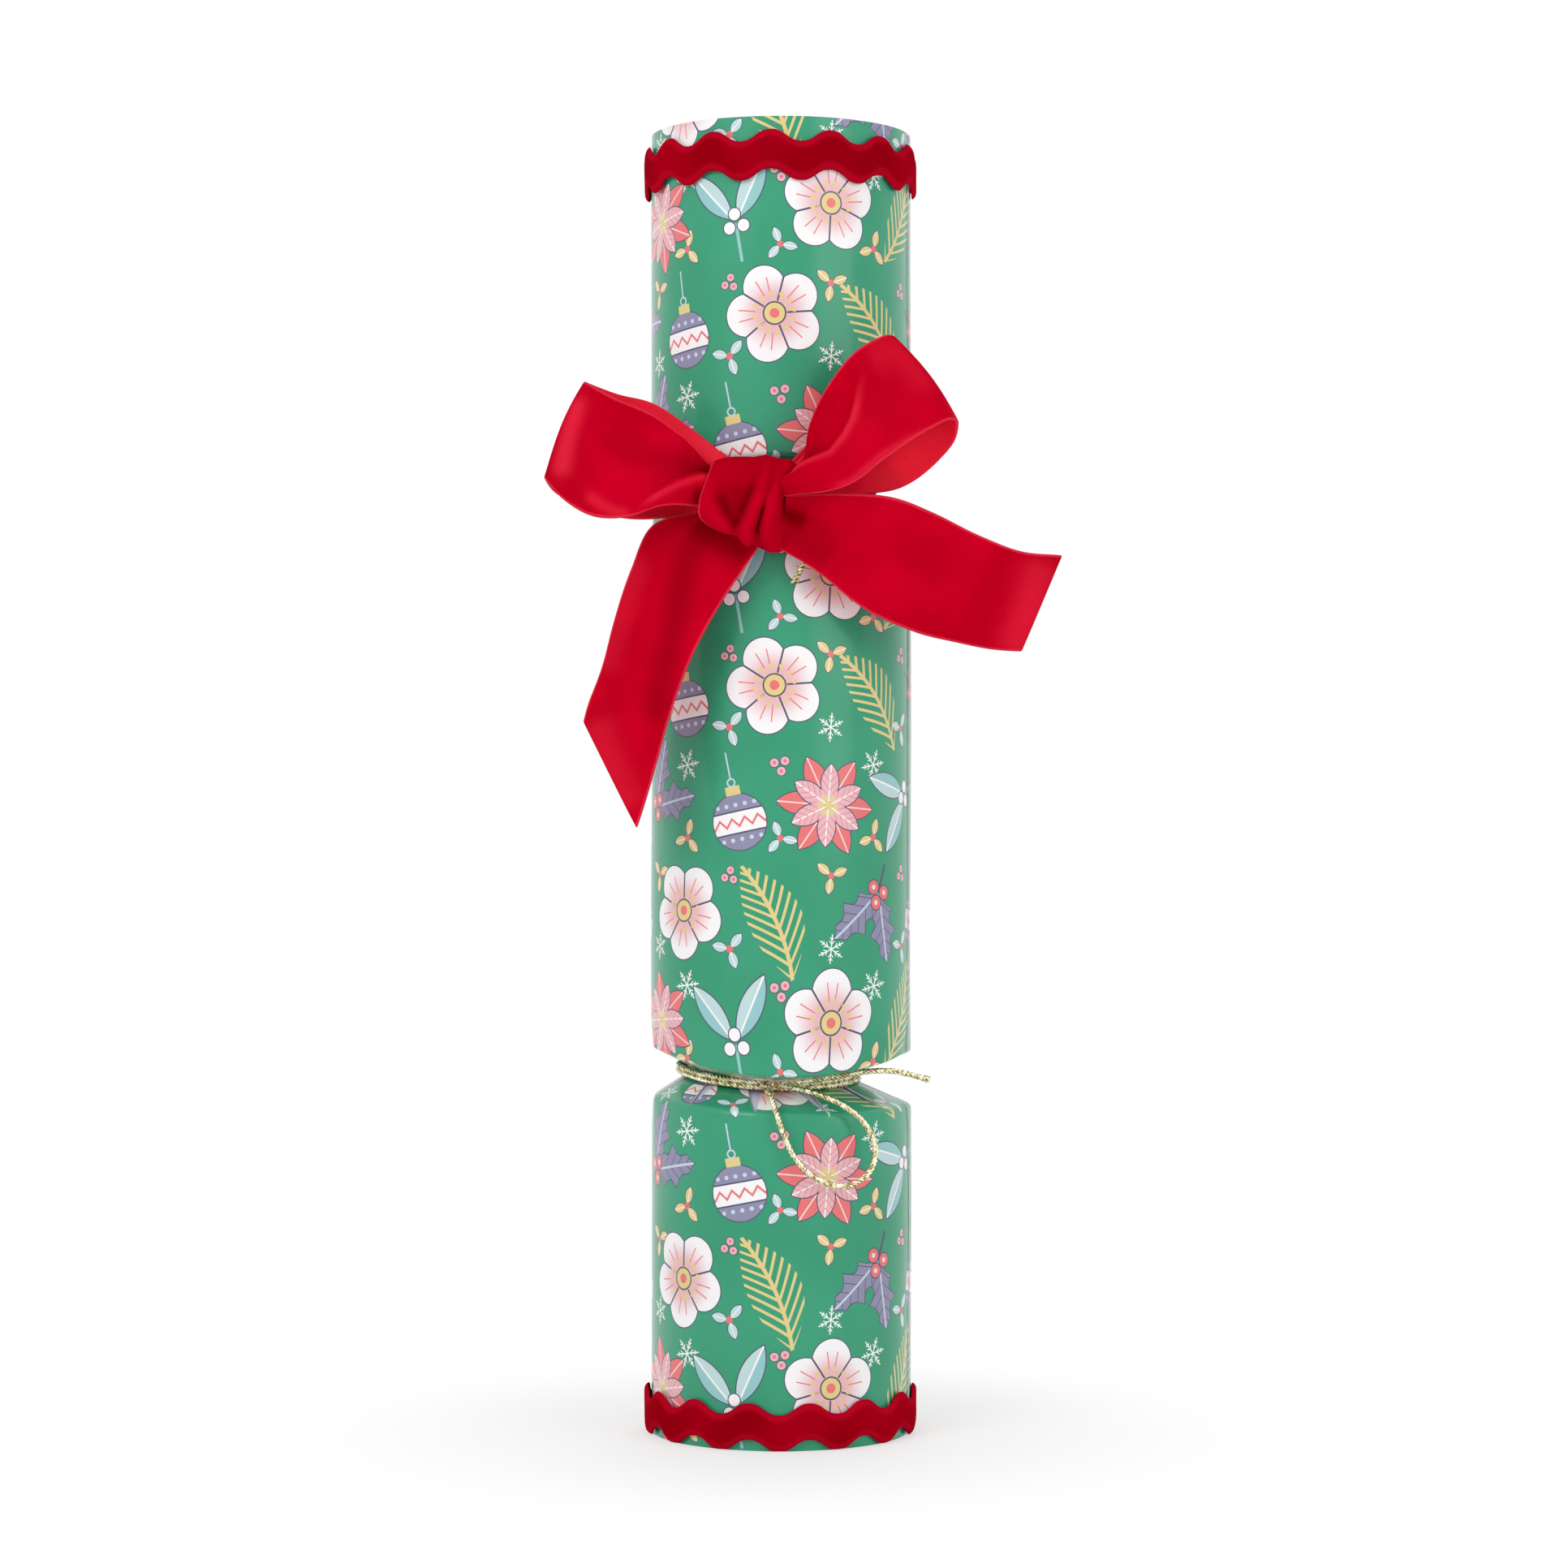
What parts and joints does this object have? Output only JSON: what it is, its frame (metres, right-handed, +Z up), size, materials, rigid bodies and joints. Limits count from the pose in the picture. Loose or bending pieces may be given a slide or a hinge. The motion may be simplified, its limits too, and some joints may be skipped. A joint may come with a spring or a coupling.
{
  "type": "christmas cracker",
  "caption": "Card party cracker: printed tube pinched at its necks, with wavy velvet trim, a ribbon bow and gold cord, that pulls apart to drop a paper crown, joke and spinning top.",
  "frame": {"origin": "centre of the lower rim, on the tube's axis, where the cracker stands", "axes": "+Z up the tube's axis, -Y towards the bow at the front, +X to the right seen from the front"},
  "size_m": [0.1233, 0.0814, 0.3186],
  "materials": {
    "printed_card": "satin coated print",
    "liner_card": "matte uncoated board",
    "trim_velvet": "velvet pile",
    "gold_cord": "metallic thread",
    "ribbon_velvet": "velvet pile, satin back",
    "snap_card": "matte manila",
    "friction_compound": "dry compound",
    "tissue_paper": "tissue",
    "rubber_band": "matte",
    "joke_paper": "matte",
    "turned_wood": "waxed",
    "peg_wood": "waxed"
  },
  "bodies": {
    "barrel": {"barrel_wrap": "printed_card", "barrel_liner": "liner_card"},
    "lower_end": {"lower_end_wrap": "printed_card", "lower_end_liner": "liner_card", "lower_rickrack": "trim_velvet", "lower_choke_tie": "gold_cord", "lower_tie_loop": "gold_cord", "lower_tie_tail": "gold_cord", "snap_lower_strip": "snap_card", "snap_lower_patch": "friction_compound"},
    "upper_end": {"upper_end_wrap": "printed_card", "upper_end_liner": "liner_card", "upper_rickrack": "trim_velvet", "upper_choke_tie": "gold_cord", "upper_tie_tail": "gold_cord", "bow_neck_band": "ribbon_velvet", "bow_knot": "ribbon_velvet", "bow_left_loop": "ribbon_velvet", "bow_right_loop": "ribbon_velvet", "bow_left_tail": "ribbon_velvet", "bow_right_tail": "ribbon_velvet", "snap_upper_strip": "snap_card", "snap_upper_patch": "friction_compound", "snap_sleeve": "snap_card"},
    "crown": {"paper_crown": "tissue_paper", "crown_band": "rubber_band"},
    "joke": {"joke_slip": "joke_paper"},
    "spinning_top": {"spinning_top_body": "turned_wood", "spinning_top_peg": "peg_wood"}
  },
  "joints": [
    {"name": "upper_pull", "type": "slide", "parent": "barrel", "child": "upper_end", "axis": [0, 0, 1], "range_m": [0, 0.12]},
    {"name": "lower_pull", "type": "slide", "parent": "barrel", "child": "lower_end", "axis": [0, 0, -1], "range_m": [0, 0.22]},
    {"name": "top_drop", "type": "slide", "parent": "barrel", "child": "spinning_top", "axis": [0, 0, -1], "range_m": [0, 0.165]},
    {"name": "crown_drop", "type": "slide", "parent": "barrel", "child": "crown", "axis": [0, 0, -1], "range_m": [0, 0.1364]},
    {"name": "joke_drop", "type": "slide", "parent": "barrel", "child": "joke", "axis": [0, 0, -1], "range_m": [0, 0.121]}
  ],
  "couplings": [
    {"joint": "top_drop", "follows": "lower_pull", "ratio": 0.75},
    {"joint": "crown_drop", "follows": "lower_pull", "ratio": 0.62},
    {"joint": "joke_drop", "follows": "lower_pull", "ratio": 0.55}
  ]
}
